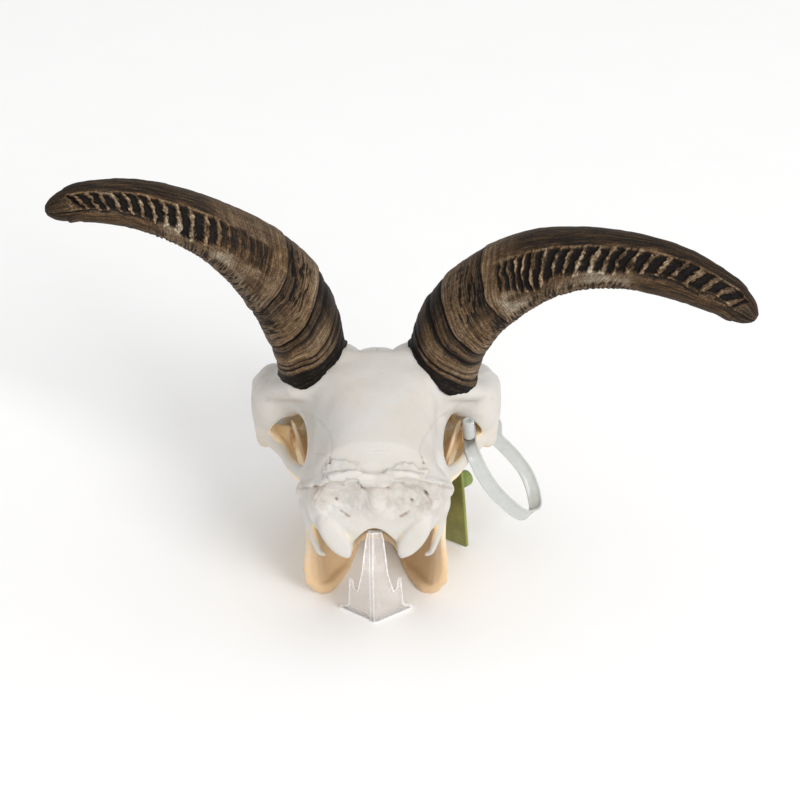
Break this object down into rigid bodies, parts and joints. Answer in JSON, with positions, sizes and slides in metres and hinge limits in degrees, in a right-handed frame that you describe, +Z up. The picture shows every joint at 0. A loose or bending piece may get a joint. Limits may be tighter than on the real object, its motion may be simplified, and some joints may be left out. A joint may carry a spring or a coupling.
{
  "type": "goat skull",
  "caption": "Cleaned goat skull with lower jaw and wide open horns, resting on its jaw and a clear rear prop, with a tie loop and a flat hang tag.",
  "frame": {"origin": "centre of the bounding box's underside, on the floor", "axes": "+X to the animal's left and along the horn spread, -Y the way the face points, +Z up"},
  "size_m": [0.3586, 0.2222, 0.2642],
  "materials": {
    "bone": "dry, matt to faintly waxy",
    "jaw_bone": "dry, matt, warmer than the cranium",
    "horn": "weathered keratin, ridged",
    "clear_plastic": "clear moulded",
    "tie_plastic": "translucent white, smooth",
    "tag_plastic": "olive, satin",
    "knob_plastic": "bright green, satin"
  },
  "bodies": {
    "root": {"cranium": "bone", "mandible_left": "jaw_bone", "mandible_right": "jaw_bone", "horn_left": "horn", "horn_right": "horn", "clear_prop": "clear_plastic", "tie_strap": "tie_plastic", "tie_head": "tie_plastic", "tag_plate": "tag_plastic", "tag_knob": "knob_plastic"}
  },
  "joints": []
}
